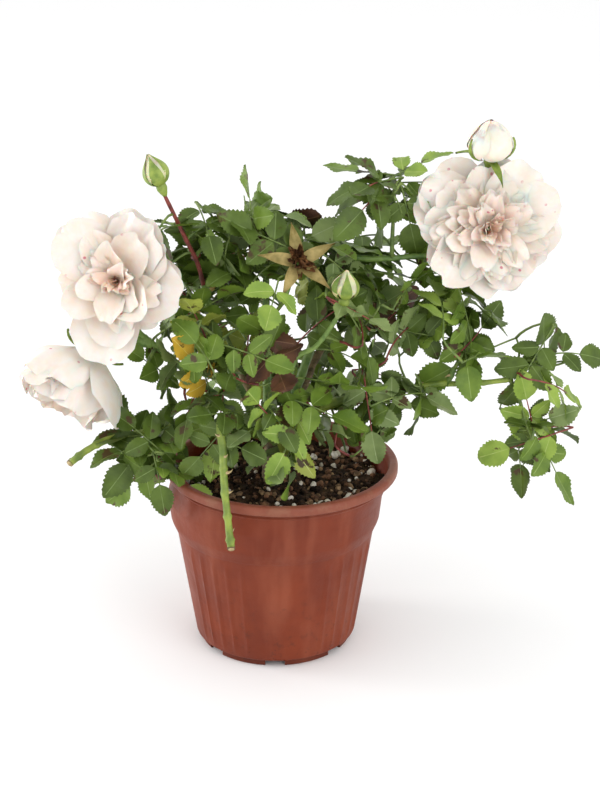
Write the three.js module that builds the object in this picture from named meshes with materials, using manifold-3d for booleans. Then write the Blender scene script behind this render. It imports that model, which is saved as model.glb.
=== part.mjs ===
// A potted miniature rose bush in bloom, in millimetres, +Z up.
// The origin is the centre of the pot's flat underside. The bush's fullest side faces -Y,
// and its long arching branch reaches out along +X.
// Each limb, each mass of foliage, each large bloom and each bud is a solid of its own.
import * as THREE from "three";
import { mergeVertices } from "three/addons/utils/BufferGeometryUtils.js";
import Module from "manifold-3d";

const wasm = await Module();
wasm.setup();

// ---- Driving dimensions ----

const GAP = 0.35; // air left between two neighbouring solids

const POT = {
  height: 116.5,
  lipRadius: 71,
  lipDepth: 6, // height of the rolled lip
  lipRound: 1.4, // how far the lip's edges are broken
  collarRadius: 66.5, // under the lip
  collarWaistRadius: 66,
  collarFootRadius: 64.5,
  collarFoot: 83,
  shoulderFoot: 75, // the collar steps in to the body between these two heights
  bodyTopRadius: 61,
  bodyFootRadius: 50,
  wall: 1.6,
  footHeight: 4.5,
  footRadius: 47,
  footStep: 0.6, // the body's wall turns in to the foot over this height
  footWall: 2.4,
  padRadius: 14, // round pad in the middle of the underside, flush with the foot
  notches: 7,
  notchWidth: 12,
  notchRoof: 0.9, // what is left of the foot's height over a notch
  drainRadius: 3.5,
  drainSides: 6,
  drainOrbit: 36,
  driftFoot: 96, // above this the soft plastic has been pulled out to one side
  driftX: 4.5,
  driftY: 1.5,
  rimFoot: 99, // the rim is a piece of its own above this height
  sides: 22,
};

const SOIL = {
  top: 105, // level patch round the stem
  droop: 1.5, // how far the surface falls towards the wall
  edge: 2, // broken edge along the wall
  clearance: 0.3,
};

const STEM = {
  top: 136,
  cap: 2, // the low cone on top, under the fork
  footRadius: 9,
  neckRadius: 5.4,
  flare: 2.5, // power by which the root flare dies away
  rings: 4,
  sides: 10,
  lean: [-2, 3], // where the top stands, in X and Y
};

const LIMB_SIDES = 6;
const LIMB_STEP = 20; // spacing of the rings along a limb
const LIMB_LEAST_STEPS = 3;

// A place on the plant is told by its bearing round the pot's axis in degrees (0 is +X and -90 the
// front), its reach out from that axis, and its height.
function placeAt(bearing, reach, height) {
  const turn = THREE.MathUtils.degToRad(bearing);
  return new THREE.Vector3(reach * Math.cos(turn), reach * Math.sin(turn), height);
}

// Where the boughs part, and how far from the stem's middle each one starts.
const FORK = { height: 133, spread: 5 };

// A limb starts at the fork, at a share of the way along a limb named before it, or at a place of
// its own. `tip` is a place, and `thick` its radius at each end. Half way along, it stands `arch`
// above and `bow` outside the straight line.
function limb(name, from, tip, thick, { arch = 0, bow = 0 } = {}) {
  return { name, from, tip, thick, arch, bow };
}

// Boughs and canes rise from the stem and end where they enter a mass of foliage.
const BOUGHS = [
  limb("cane_front", FORK, [-120, 60, 165], [2.6, 2.2], { arch: 10, bow: 5 }),
  limb("cane_left", FORK, [-170, 90, 140], [2.4, 2.1], { arch: 8 }),
  limb("bough_right", FORK, [-5, 85, 170], [3, 2], { arch: 8 }),
  limb("bough_upper_right", FORK, [0, 40, 245], [2.8, 1.9]),
  limb("bough_top", FORK, [120, 10, 255], [2.7, 1.5]),
  limb("bough_upper_left", FORK, [-175, 45, 245], [2.8, 1.7], { bow: 5 }),
  limb("bough_left", FORK, [-170, 75, 200], [2.6, 1.8]),
  limb("bough_back_left", FORK, [125, 65, 205], [2.6, 1.8], { bow: 5 }),
  limb("bough_back_right", FORK, [50, 65, 205], [2.6, 1.8], { bow: 5 }),
  limb("bough_front", FORK, [-70, 35, 195], [2.4, 1.6], { bow: 5 }),
  limb("branch_right_arm", ["bough_right", 1], [-1, 180, 180], [1.9, 1.1], { arch: -4 }),
  limb("branch_right_spur", ["branch_right_arm", 0.2], [-4, 100, 212], [1.5, 1.1], { bow: 8 }),
];

// Limbs in the open keep their whole length, and the masses give way to them.
const OPEN_LIMBS = [
  // Two canes end in a pruning cut, one of them bent down over the rim.
  limb("cane_front_end", ["cane_front", 1], [-108, 80, 95], [2.3, 2.1], { bow: 3 }),
  limb("cane_left_end", ["cane_left", 1], [-168, 125, 127], [2.2, 2.1], { arch: 4 }),
  // Stems that carry blooms and buds clear of the leaves.
  limb("branch_upper_right", ["bough_upper_right", 1], [0, 107, 250], [1.8, 1.3]),
  limb("stem_bloom_left", ["bough_left", 1], [-165, 90, 225], [1.7, 1.4], { bow: 3 }),
  limb("stem_bloom_low", ["bough_left", 0.95], [-172, 105, 198], [1.6, 1.3], { arch: 5 }),
  limb("stem_bud_left", ["bough_upper_left", 1], [-162, 66, 293], [1.3, 1.1]),
  limb("stem_bud_centre", ["bough_front", 1], [-45, 57, 231], [1.6, 1.2], { arch: -6 }),
  limb("stem_bud_right", ["branch_upper_right", 1], [-3, 124, 305], [1.4, 1.1]),
  limb("stem_spent", [-70, 15, 225], [-55, 25, 250], [1.4, 1.1]),
];

// Foliage grows in three tiers round the stem, at these heights.
const TIER = { low: 157, middle: 215, upper: 255 };

// A mass of foliage: bearing, reach and height of its middle, and its half-extents
// across its bearing, outwards and upwards, before the leaves make it uneven.
function mass(name, bearing, reach, height, half) {
  return { name, bearing, at: placeAt(bearing, reach, height), half };
}
const MASSES = [
  mass("foliage_front_left", -145, 58, TIER.middle - 3, [31, 30, 37]),
  mass("foliage_front_centre", -98, 45, TIER.middle + 3, [31, 25, 37]),
  mass("foliage_front_right", -38, 52, TIER.middle - 7, [30, 28, 33]),
  mass("foliage_top_left", 175, 40, TIER.upper - 2, [31, 32, 29]),
  mass("foliage_top", 80, 6, TIER.upper + 3, [30, 30, 29]),
  mass("foliage_inner_right", 8, 45, TIER.upper - 10, [30, 31, 26]),
  mass("foliage_top_right", 0, 68, TIER.upper + 34, [19, 31, 24]),
  mass("foliage_right", 0, 93, TIER.middle + 7, [25, 34, 28]),
  mass("foliage_left", -165, 80, TIER.middle - 28, [19, 21, 27]),
  mass("foliage_low_left", -160, 75, TIER.low - 23, [18, 27, 29]),
  mass("foliage_low_centre", -132, 52, TIER.low + 4, [30, 24, 25]),
  mass("foliage_low_front", -80, 40, TIER.low - 2, [33, 19, 27]),
  mass("foliage_low_right", -15, 65, TIER.low + 9, [25, 34, 25]),
  mass("foliage_back_left", 130, 67, TIER.middle + 3, [40, 34, 44]),
  mass("foliage_back_right", 47, 68, TIER.middle + 1, [40, 34, 43]),
  mass("foliage_back_low", 90, 55, TIER.low - 5, [50, 27, 30]),
];

// Thin sprays on the arching branch, well outside the pot: the limb, the share of the way along it,
// how far the spray's middle hangs below it, and its half-extents.
function hungSpray(name, on, share, drop, half) {
  return { name, on, share, drop, half };
}
const HUNG_SPRAYS = [
  hungSpray("foliage_arm_tip", "branch_right_arm", 0.8, -5, [9, 29, 15]),
  hungSpray("foliage_arm_hanging", "branch_right_arm", 0.75, 40, [7, 21, 32]),
  hungSpray("foliage_arm_spur", "branch_right_spur", 0.5, -5, [9, 17, 17]),
];
const SMALL_MASS = 30; // a mass whose longest half-extent is under this has a coarser ball
const MASS_BODY = 0.94; // radius between the lobes, as a share of the half-extents
const MASS_LOBES = 10;
const HOLLOW_EVERY = 3; // one lobe in this many is a hollow
const HOLLOW_SHARE = -0.8;
const LOBE_HEIGHT = 0.2; // mean height of a lobe, as a share of the radius
const LOBE_SHARPNESS = 5;

// Open blooms: the place of the flower's middle, the way it faces, its radius and its depth.
const BLOOMS = [
  { name: "bloom_upper_left", at: placeAt(-160, 97, 246), facing: [-0.28, -0.9, 0.3], radius: 41, depth: 30 },
  {
    name: "bloom_lower_left",
    at: placeAt(-170, 120, 177),
    facing: [-0.45, -0.45, -0.75],
    radius: 30,
    depth: 46,
  },
  { name: "bloom_right", at: placeAt(-10, 125, 273), facing: [0.08, -0.93, 0.2], radius: 42, depth: 36 },
];
const BLOOM_SIDES = 15;
const BLOOM_SCALLOPS = 5;
const SCALLOP_DEPTH = 0.06;
// From the middle of the back, round the rim, to the middle of the face:
// shares of the radius and of the depth, and which way a grown copy moves.
const BLOOM_OUTLINE = [
  [0, -0.5, -1],
  [0.35, -0.42, -1],
  [0.8, -0.2, -1],
  [1, 0.06, 0],
  [0.86, 0.3, 1],
  [0.5, 0.48, 1],
  [0, 0.42, 1],
];

// Buds and the spent flower: the stem whose tip each stands on, the way it points, length and radius.
const BUDS = [
  { name: "bud_left", on: "stem_bud_left", facing: [-0.35, -0.02, 0.93], length: 24, radius: 6.5 },
  { name: "bud_centre", on: "stem_bud_centre", facing: [0.08, 0, 1], length: 22, radius: 8 },
  { name: "bud_right", on: "stem_bud_right", facing: [0.02, -0.2, 0.97], length: 28, radius: 13 },
  { name: "spent_bloom", on: "stem_spent", facing: [0.1, -0.75, 0.6], length: 14, radius: 18 },
];
const BUD_SIDES = 8;
// From foot to tip: shares of the radius and of the length, and which way a grown copy moves.
const BUD_OUTLINE = [
  [0, 0, -1],
  [0.45, 0, -1],
  [0.95, 0.28, 0],
  [1, 0.45, 0],
  [0.72, 0.78, 0],
  [0.3, 1, 1],
  [0, 1, 1],
];

// ---- Finishes ----

const finish = (color, roughness) => new THREE.MeshStandardMaterial({ color, roughness, metalness: 0 });
const FINISH = {
  pot: finish(0xa5553e, 0.55),
  soil: finish(0x2e2219, 0.95),
  bark: finish(0x6f8a3c, 0.6),
  leaf: finish(0x3f6b34, 0.55),
  petal: finish(0xf6e6dc, 0.7),
  budGreen: finish(0x8fa35a, 0.6),
  spent: finish(0x8a6a42, 0.8),
};

// ---- Solids ----

// A repeatable stream of numbers between 0 and 1, seeded by a name.
function randomFrom(name) {
  let state = 0;
  for (const letter of name) {
    state = (state * 31 + letter.charCodeAt(0)) >>> 0;
  }
  return () => {
    state = (state + 0x6d2b79f5) >>> 0;
    let t = Math.imul(state ^ (state >>> 15), state | 1);
    t ^= t + Math.imul(t ^ (t >>> 7), t | 61);
    return ((t ^ (t >>> 14)) >>> 0) / 2 ** 32;
  };
}

// A closed geometry as a manifold solid, its shared corners merged.
function solidOf(geometry) {
  const bare = new THREE.BufferGeometry();
  bare.setAttribute("position", geometry.getAttribute("position"));
  bare.setIndex(geometry.getIndex());
  const merged = mergeVertices(bare, 1e-4);
  return new wasm.Manifold(
    new wasm.Mesh({
      numProp: 3,
      vertProperties: merged.attributes.position.array,
      triVerts: new Uint32Array(merged.index.array),
    }),
  );
}

// A manifold solid back as a geometry with flat facets.
function geometryOf(solid) {
  const made = solid.getMesh();
  const corners = new Float32Array(made.numVert * 3);
  for (let i = 0; i < made.numVert; i++) {
    corners.set(made.vertProperties.subarray(i * made.numProp, i * made.numProp + 3), i * 3);
  }
  const geometry = new THREE.BufferGeometry();
  geometry.setAttribute("position", new THREE.BufferAttribute(corners, 3));
  geometry.setIndex(new THREE.BufferAttribute(made.triVerts, 1));
  const faceted = geometry.toNonIndexed();
  faceted.computeVertexNormals();
  return faceted;
}

// The largest separate body of a solid that a cut may have left in pieces.
function largest(solid) {
  return solid.decompose().reduce((best, body) => (body.volume() > best.volume() ? body : best));
}

// A profile of [radius, height] pairs, turned about +Z.
function turned(profile, sides) {
  const lathe = new THREE.LatheGeometry(
    profile.map(([r, z]) => new THREE.Vector2(r, z)),
    sides,
  );
  lathe.rotateX(Math.PI / 2);
  return lathe;
}

// Moves each corner of a geometry sideways by what `offsetAt` gives for its height.
function shifted(geometry, offsetAt) {
  const position = geometry.getAttribute("position");
  for (let i = 0; i < position.count; i++) {
    const [x, y] = offsetAt(position.getZ(i));
    position.setX(i, position.getX(i) + x);
    position.setY(i, position.getY(i) + y);
  }
  return geometry;
}

// ---- Pot ----

const LIP_FOOT = POT.height - POT.lipDepth;

// The pull to one side, eased in from `driftFoot` up to the lip.
function driftAt(z) {
  const share = THREE.MathUtils.smoothstep(z, POT.driftFoot, LIP_FOOT);
  return [POT.driftX * share, POT.driftY * share];
}

// The inside of the pot from its floor up to the soil's edge, drawn in by `gap`.
function insideProfile(gap) {
  const inset = POT.wall + gap;
  return [
    [POT.bodyFootRadius - inset, POT.footHeight + inset],
    [POT.bodyTopRadius - inset, POT.shoulderFoot],
    [POT.collarFootRadius - inset, POT.collarFoot],
    [POT.collarWaistRadius - inset, POT.driftFoot],
    [POT.collarWaistRadius - inset, SOIL.top - SOIL.droop],
  ];
}

function potShell(grow = 0) {
  const shell = turned(
    [
      [0, 0],
      [POT.padRadius, 0],
      [POT.padRadius, POT.footHeight],
      [POT.footRadius - POT.footWall, POT.footHeight],
      [POT.footRadius - POT.footWall, 0],
      [POT.footRadius, 0],
      [POT.footRadius, POT.footHeight - POT.footStep],
      [POT.bodyFootRadius + grow, POT.footHeight + POT.footStep],
      [POT.bodyTopRadius + grow, POT.shoulderFoot],
      [POT.collarFootRadius + grow, POT.collarFoot],
      [POT.collarWaistRadius + grow, POT.driftFoot],
      [POT.collarRadius + grow, LIP_FOOT - grow],
      [POT.lipRadius + grow, LIP_FOOT + POT.lipRound - grow],
      [POT.lipRadius + grow, POT.height - POT.lipRound + grow],
      [POT.lipRadius - POT.lipRound, POT.height + grow],
      [POT.collarRadius, POT.height + grow],
      [POT.collarRadius - POT.wall - grow, POT.height - POT.lipRound],
      ...insideProfile(grow).reverse(),
      [0, POT.footHeight + POT.wall],
    ],
    POT.sides,
  );
  return solidOf(shifted(shell, driftAt));
}

// The foot ring is broken by drainage notches, and the floor by holes between them.
function potWithDrainage() {
  let shell = potShell();
  for (let i = 0; i < POT.notches; i++) {
    const angle = (i / POT.notches) * 2 * Math.PI - Math.PI / 2;
    const deep = 2 * (POT.footHeight - POT.notchRoof);
    const notch = new THREE.BoxGeometry(6 * POT.footWall, POT.notchWidth, deep);
    notch.translate(POT.footRadius, 0, 0);
    notch.rotateZ(angle);
    const through = 4 * POT.wall;
    const drain = new THREE.CylinderGeometry(POT.drainRadius, POT.drainRadius, through, POT.drainSides);
    drain.rotateX(Math.PI / 2);
    drain.translate(POT.drainOrbit, 0, POT.footHeight + POT.wall / 2);
    drain.rotateZ(angle + Math.PI / POT.notches);
    shell = shell.subtract(solidOf(notch)).subtract(solidOf(drain));
  }
  return shell;
}

// The root ball fills the pot to a little under its lip.
function soilBall() {
  const inside = insideProfile(GAP + SOIL.clearance);
  const floor = inside[0][1];
  const [wallRadius, wallTop] = inside.pop();
  const ball = turned(
    [
      [0, floor],
      ...inside,
      [wallRadius, wallTop - SOIL.edge],
      [wallRadius - SOIL.edge, wallTop],
      [STEM.footRadius * 2, SOIL.top],
      [0, SOIL.top],
    ],
    POT.sides,
  );
  return solidOf(shifted(ball, driftAt));
}

// ---- Limbs ----

const limbPaths = new Map();

function pointOn(name, share) {
  return limbPaths.get(name).getPointAt(share);
}

function startOf({ from, tip }) {
  if (from === FORK) {
    const [x, y] = STEM.lean;
    return placeAt(tip[0], FORK.spread, FORK.height).add(new THREE.Vector3(x, y, 0));
  }
  return typeof from[0] === "string" ? pointOn(...from) : placeAt(...from);
}

for (const each of [...BOUGHS, ...OPEN_LIMBS]) {
  const start = startOf(each);
  const end = placeAt(...each.tip);
  const middle = start.clone().lerp(end, 0.5);
  middle.add(new THREE.Vector3(middle.x, middle.y, 0).setLength(each.bow));
  middle.z += each.arch;
  limbPaths.set(each.name, new THREE.CatmullRomCurve3([start, middle, end]));
}

// A tapering limb with flat ends, swept along its path as rings of corners.
function limbSolid({ name, thick: [base, tip] }, grow = 0) {
  const path = limbPaths.get(name);
  const steps = Math.max(LIMB_LEAST_STEPS, Math.round(path.getLength() / LIMB_STEP));
  const frames = path.computeFrenetFrames(steps, false);
  const corners = [];
  for (let i = 0; i <= steps; i++) {
    const share = i / steps;
    const radius = base + (tip - base) * share + grow;
    const middle = path.getPointAt(share);
    if (i === 0) middle.addScaledVector(frames.tangents[i], -grow);
    if (i === steps) middle.addScaledVector(frames.tangents[i], grow);
    for (let side = 0; side < LIMB_SIDES; side++) {
      const angle = (side / LIMB_SIDES) * 2 * Math.PI;
      const corner = middle.clone();
      corner.addScaledVector(frames.normals[i], radius * Math.cos(angle));
      corner.addScaledVector(frames.binormals[i], radius * Math.sin(angle));
      corners.push(corner);
    }
  }
  const faces = [];
  for (let i = 0; i < steps; i++) {
    for (let side = 0; side < LIMB_SIDES; side++) {
      const a = i * LIMB_SIDES + side;
      const b = i * LIMB_SIDES + ((side + 1) % LIMB_SIDES);
      faces.push(a, b, b + LIMB_SIDES, a, b + LIMB_SIDES, a + LIMB_SIDES);
    }
  }
  const last = steps * LIMB_SIDES;
  for (let side = 1; side < LIMB_SIDES - 1; side++) {
    faces.push(0, side + 1, side);
    faces.push(last, last + side, last + side + 1);
  }
  const geometry = new THREE.BufferGeometry().setFromPoints(corners);
  geometry.setIndex(faces);
  return solidOf(geometry);
}

// The short stem: flared where it meets the soil, cut flat there, leaning a little.
function stemSolid(grow = 0) {
  const foot = SOIL.top + GAP;
  const outline = [
    [0, foot - grow],
    [STEM.footRadius + grow, foot - grow],
  ];
  for (let i = 1; i <= STEM.rings; i++) {
    const share = i / STEM.rings;
    const flare = (STEM.footRadius - STEM.neckRadius) * (1 - share) ** STEM.flare;
    outline.push([STEM.neckRadius + flare + grow, foot + (STEM.top - foot) * share]);
  }
  outline.push([0, STEM.top + STEM.cap + grow]);
  const leanAt = (z) => STEM.lean.map((reach) => (reach * (z - foot)) / (STEM.top - foot));
  return solidOf(shifted(turned(outline, STEM.sides), leanAt));
}

// ---- Foliage, blooms and buds ----

// An uneven closed solid: a ball stretched to its half-extents, with seeded lobes and hollows.
function massSolid({ name, bearing, at, half: halves }, grow = 0) {
  const random = randomFrom(name);
  const lobes = [];
  for (let i = 0; i < MASS_LOBES; i++) {
    const toward = new THREE.Vector3(random() - 0.5, random() - 0.5, random() - 0.5).normalize();
    const height = LOBE_HEIGHT * (0.5 + random());
    const isHollow = i % HOLLOW_EVERY === HOLLOW_EVERY - 1;
    lobes.push({ toward, height: isHollow ? height * HOLLOW_SHARE : height });
  }
  const detail = Math.max(...halves) < SMALL_MASS ? 1 : 2;
  const ball = new THREE.IcosahedronGeometry(1, detail);
  const position = ball.getAttribute("position");
  const half = new THREE.Vector3(...halves);
  const toward = new THREE.Vector3();
  for (let i = 0; i < position.count; i++) {
    toward.fromBufferAttribute(position, i).normalize();
    let swell = MASS_BODY;
    for (const lobe of lobes) {
      swell += lobe.height * Math.max(0, toward.dot(lobe.toward)) ** LOBE_SHARPNESS;
    }
    const reach = half.clone().multiplyScalar(swell).addScalar(grow);
    position.setXYZ(i, ...toward.multiply(reach));
  }
  ball.rotateZ(THREE.MathUtils.degToRad(bearing + 90));
  ball.translate(...at.toArray());
  return solidOf(ball);
}

// An outline of shares, turned about +Y as a lathe of the given radius and length.
function turnedShares(outline, radius, length, sides, grow) {
  const points = outline.map(
    ([share, along, way]) => new THREE.Vector2(share * (radius + grow), along * length + way * grow),
  );
  return new THREE.LatheGeometry(points, sides);
}

// Turns a lathe about +Y so that +Y points along `facing`, and places it.
function placed(lathe, at, facing) {
  const turn = new THREE.Quaternion();
  turn.setFromUnitVectors(new THREE.Vector3(0, 1, 0), new THREE.Vector3(...facing).normalize());
  lathe.applyQuaternion(turn);
  lathe.translate(...at.toArray());
  return solidOf(lathe);
}

// A double bloom: a shallow bowl of petals with a scalloped rim and a domed face.
function bloomSolid(bloom, grow = 0) {
  const lathe = turnedShares(BLOOM_OUTLINE, bloom.radius, bloom.depth, BLOOM_SIDES, grow);
  const position = lathe.getAttribute("position");
  for (let i = 0; i < position.count; i++) {
    const angle = Math.atan2(position.getZ(i), position.getX(i));
    const wave = 1 - SCALLOP_DEPTH * (1 + Math.cos(angle * BLOOM_SCALLOPS));
    position.setX(i, position.getX(i) * wave);
    position.setZ(i, position.getZ(i) * wave);
  }
  return placed(lathe, bloom.at, bloom.facing);
}

function budSolid(bud, grow = 0) {
  const lathe = turnedShares(BUD_OUTLINE, bud.radius, bud.length, BUD_SIDES, grow);
  return placed(lathe, pointOn(bud.on, 1), bud.facing);
}

// ---- Assembly ----

const group = new THREE.Group();

function addNode(name, solid, material) {
  const mesh = new THREE.Mesh(geometryOf(solid), material);
  mesh.name = name;
  group.add(mesh);
}

// The pot's rim stands clear of the soil and is cut from the body with a hair of air.
const UP = [0, 0, 1];
const DOWN = [0, 0, -1];
const wholePot = potWithDrainage();
addNode("pot", wholePot.trimByPlane(DOWN, -POT.rimFoot), FINISH.pot);
addNode("pot_rim", wholePot.trimByPlane(UP, POT.rimFoot + GAP), FINISH.pot);
addNode("soil", soilBall(), FINISH.soil);
addNode("stem", stemSolid(), FINISH.bark);

// Blooms and buds keep their whole shape; everything that meets them stops short of them.
let taken = potShell(GAP).add(stemSolid(GAP));
const flowers = [
  ...BLOOMS.map((bloom) => ({ part: bloom, make: bloomSolid, material: FINISH.petal })),
  ...BUDS.map((bud) => ({ part: bud, make: budSolid, material: FINISH.budGreen })),
];
for (const { part, make, material } of flowers) {
  const look = part.name === "spent_bloom" ? FINISH.spent : material;
  addNode(part.name, largest(make(part).subtract(taken)), look);
  taken = taken.add(make(part, GAP));
}

for (const openLimb of OPEN_LIMBS) {
  addNode(openLimb.name, largest(limbSolid(openLimb).subtract(taken)), FINISH.bark);
  taken = taken.add(limbSolid(openLimb, GAP));
}

// Each mass gives way to the masses before it, so that neighbours meet with a hair of air.
const sprays = HUNG_SPRAYS.map(({ name, on, share, drop, half }) => {
  const at = pointOn(on, share);
  const bearing = THREE.MathUtils.radToDeg(Math.atan2(at.y, at.x));
  at.z -= drop;
  return { name, bearing, at, half };
});
for (const each of [...MASSES, ...sprays]) {
  addNode(each.name, largest(massSolid(each).subtract(taken)), FINISH.leaf);
  taken = taken.add(massSolid(each, GAP));
}

// Boughs end where they enter a mass.
for (const bough of BOUGHS) {
  addNode(bough.name, largest(limbSolid(bough).subtract(taken)), FINISH.bark);
  taken = taken.add(limbSolid(bough, GAP));
}

export default group;
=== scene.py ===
# Looks of a potted miniature rose bush: pot, soil, canes, leaves, blooms and buds, in metres.
import math
from random import Random

import bmesh
import bpy
import numpy as np
from mathutils import Matrix, Vector, noise


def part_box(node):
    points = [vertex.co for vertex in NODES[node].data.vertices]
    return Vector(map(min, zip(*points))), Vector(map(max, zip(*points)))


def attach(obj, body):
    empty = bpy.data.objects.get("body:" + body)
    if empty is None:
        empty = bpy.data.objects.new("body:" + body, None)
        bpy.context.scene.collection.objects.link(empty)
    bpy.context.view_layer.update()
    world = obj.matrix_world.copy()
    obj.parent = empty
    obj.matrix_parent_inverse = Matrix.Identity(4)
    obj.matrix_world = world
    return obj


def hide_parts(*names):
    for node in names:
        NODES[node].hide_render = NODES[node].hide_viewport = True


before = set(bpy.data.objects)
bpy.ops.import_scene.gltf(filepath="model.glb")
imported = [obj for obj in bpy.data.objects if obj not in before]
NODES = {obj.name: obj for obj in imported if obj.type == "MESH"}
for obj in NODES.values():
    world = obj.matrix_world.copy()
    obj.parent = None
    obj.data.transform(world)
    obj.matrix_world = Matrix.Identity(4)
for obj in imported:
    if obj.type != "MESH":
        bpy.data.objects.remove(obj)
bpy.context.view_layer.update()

MM = 0.001
UP = Vector((0, 0, 1))
TO_VIEWER = Vector((0, -1, 0))
TURN = 2 * math.pi
WELD = 1e-6


# ---- Gathering shapes into joined meshes ----

def new_object(name, data):
    made = bpy.data.objects.new(name, data)
    bpy.context.scene.collection.objects.link(made)
    return made


class Batch:
    """Grids of points, gathered for one joined mesh."""

    def __init__(self):
        self.points = []
        self.quads = []
        self.slots = []
        self.tints = []
        self.count = 0

    def grid(self, points, slots=0, tints=None, closed=False):
        """Adds a grid of rows and columns; closed joins the last column to the first."""
        points = np.asarray(points, float)
        rows, columns = points.shape[:2]
        index = np.arange(rows * columns).reshape(rows, columns) + self.count
        if closed:
            index = np.concatenate([index, index[:, :1]], axis=1)
        quads = np.stack([index[:-1, :-1], index[:-1, 1:], index[1:, 1:], index[1:, :-1]], axis=-1)
        self.points.append(points.reshape(-1, 3))
        self.quads.append(quads.reshape(-1, 4))
        self.slots.append(np.broadcast_to(slots, quads.shape[:2]).reshape(-1))
        if tints is None:
            tints = np.ones((rows, columns, 3))
        self.tints.append(np.broadcast_to(tints, (rows, columns, 3)).reshape(-1, 3))
        self.count += rows * columns

    def piece(self, name, materials, slot, nodes=(), sharp=None):
        """The joined mesh as an object on the plant's body, standing for CAD nodes."""
        mesh = bpy.data.meshes.new(name)
        mesh.from_pydata(np.concatenate(self.points), [], np.concatenate(self.quads).tolist())
        mesh.polygons.foreach_set("material_index", np.concatenate(self.slots).astype(np.int32))
        colours = np.ones((self.count, 4))
        colours[:, :3] = np.concatenate(self.tints)
        layer = mesh.color_attributes.new("tint", "FLOAT_COLOR", "POINT")
        layer.data.foreach_set("color", colours.ravel())
        work = bmesh.new()
        work.from_mesh(mesh)
        bmesh.ops.remove_doubles(work, verts=work.verts, dist=WELD)
        for face in work.faces:
            face.smooth = True
        if sharp is not None:
            for edge in work.edges:
                edge.smooth = not (edge.is_manifold and edge.calc_face_angle(0) > sharp)
        work.to_mesh(mesh)
        work.free()
        for material in materials:
            mesh.materials.append(material)
        piece = new_object(name, mesh)
        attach(piece, "root")
        if nodes:
            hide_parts(*nodes)
        return piece


# ---- Materials ----

def linear(code):
    """A hex sRGB colour as linear numbers."""
    shares = [int(code[i:i + 2], 16) / 255 for i in (0, 2, 4)]
    return [((c + 0.055) / 1.055) ** 2.4 if c > 0.04045 else c / 12.92 for c in shares]


class Look:
    """A Principled material and short ways to drive it from procedural nodes."""

    def __init__(self, name, roughness=0.6, specular=0.5):
        self.material = bpy.data.materials.new(name)
        self.material.use_nodes = True
        self.tree = self.material.node_tree
        self.shader = self.tree.nodes["Principled BSDF"]
        self.shader.inputs["Roughness"].default_value = roughness
        self.shader.inputs["Specular IOR Level"].default_value = specular
        self.place = self.tree.nodes.new("ShaderNodeTexCoord").outputs["Object"]

    def node(self, kind, inputs, **settings):
        """A new node; each of its inputs is a constant or another node's output."""
        made = self.tree.nodes.new(kind)
        for key, value in settings.items():
            setattr(made, key, value)
        for key, value in inputs.items():
            self.feed(made.inputs[key], value)
        return made

    def feed(self, socket, value):
        if isinstance(value, bpy.types.NodeSocket):
            self.tree.links.new(value, socket)
        elif isinstance(value, (list, tuple)) and len(value) == 3 and socket.type == "RGBA":
            socket.default_value = (*value, 1)
        else:
            socket.default_value = value

    def stretched(self, scale):
        return self.node("ShaderNodeMapping", {"Vector": self.place, "Scale": scale}).outputs["Vector"]

    def noise(self, scale, detail=3.0, roughness=0.55, place=None):
        inputs = {"Vector": place or self.place, "Scale": scale, "Detail": detail, "Roughness": roughness}
        return self.node("ShaderNodeTexNoise", inputs).outputs["Fac"]

    def cells(self, scale):
        return self.node("ShaderNodeTexVoronoi", {"Vector": self.place, "Scale": scale}).outputs["Distance"]

    def ramp(self, value, low, high, start=0.0, end=1.0):
        inputs = {"Value": value, "From Min": low, "From Max": high, "To Min": start, "To Max": end}
        return self.node("ShaderNodeMapRange", inputs).outputs["Result"]

    def times(self, a, b):
        return self.node("ShaderNodeMath", {0: a, 1: b}, operation="MULTIPLY").outputs[0]

    def mix(self, share, a, b, blend="MIX"):
        inputs = {"Factor": share, "A": a, "B": b}
        return self.node("ShaderNodeMix", inputs, data_type="RGBA", blend_type=blend).outputs["Result"]

    def height(self):
        return self.node("ShaderNodeSeparateXYZ", {0: self.place}).outputs["Z"]

    def tint(self):
        return self.node("ShaderNodeVertexColor", {}, layer_name="tint").outputs["Color"]

    def colour(self, value):
        self.feed(self.shader.inputs["Base Color"], value)

    def roughness(self, value):
        self.feed(self.shader.inputs["Roughness"], value)

    def bump(self, height, distance):
        made = self.node("ShaderNodeBump", {"Distance": distance, "Height": height})
        self.feed(self.shader.inputs["Normal"], made.outputs["Normal"])

    def soft(self, weight, scale):
        self.shader.inputs["Subsurface Weight"].default_value = weight
        self.shader.inputs["Subsurface Scale"].default_value = scale


def mottled(name, light, dark, scale, roughness, bump=0.0, specular=0.5):
    """A surface that wanders between two close tones, with a fine relief."""
    look = Look(name, roughness, specular)
    share = look.ramp(look.noise(scale), 0.35, 0.65)
    look.colour(look.mix(share, linear(dark), linear(light)))
    if bump:
        look.bump(look.noise(scale * 4), bump)
    return look.material


# ---- Shapes ----

def smooth_path(points, step):
    """Points along a Catmull-Rom curve through the given ones, about a step apart."""
    points = [Vector(p) for p in points]
    padded = [2 * points[0] - points[1], *points, 2 * points[-1] - points[-2]]
    path = []
    for a, b, c, d in zip(padded, padded[1:], padded[2:], padded[3:]):
        count = max(1, round((c - b).length / step))
        for i in range(count):
            t = i / count
            path.append(
                0.5 * (2 * b + (c - a) * t + (2 * a - 5 * b + 4 * c - d) * t ** 2
                       + (3 * b - a - 3 * c + d) * t ** 3)
            )
    path.append(points[-1])
    return path


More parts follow.
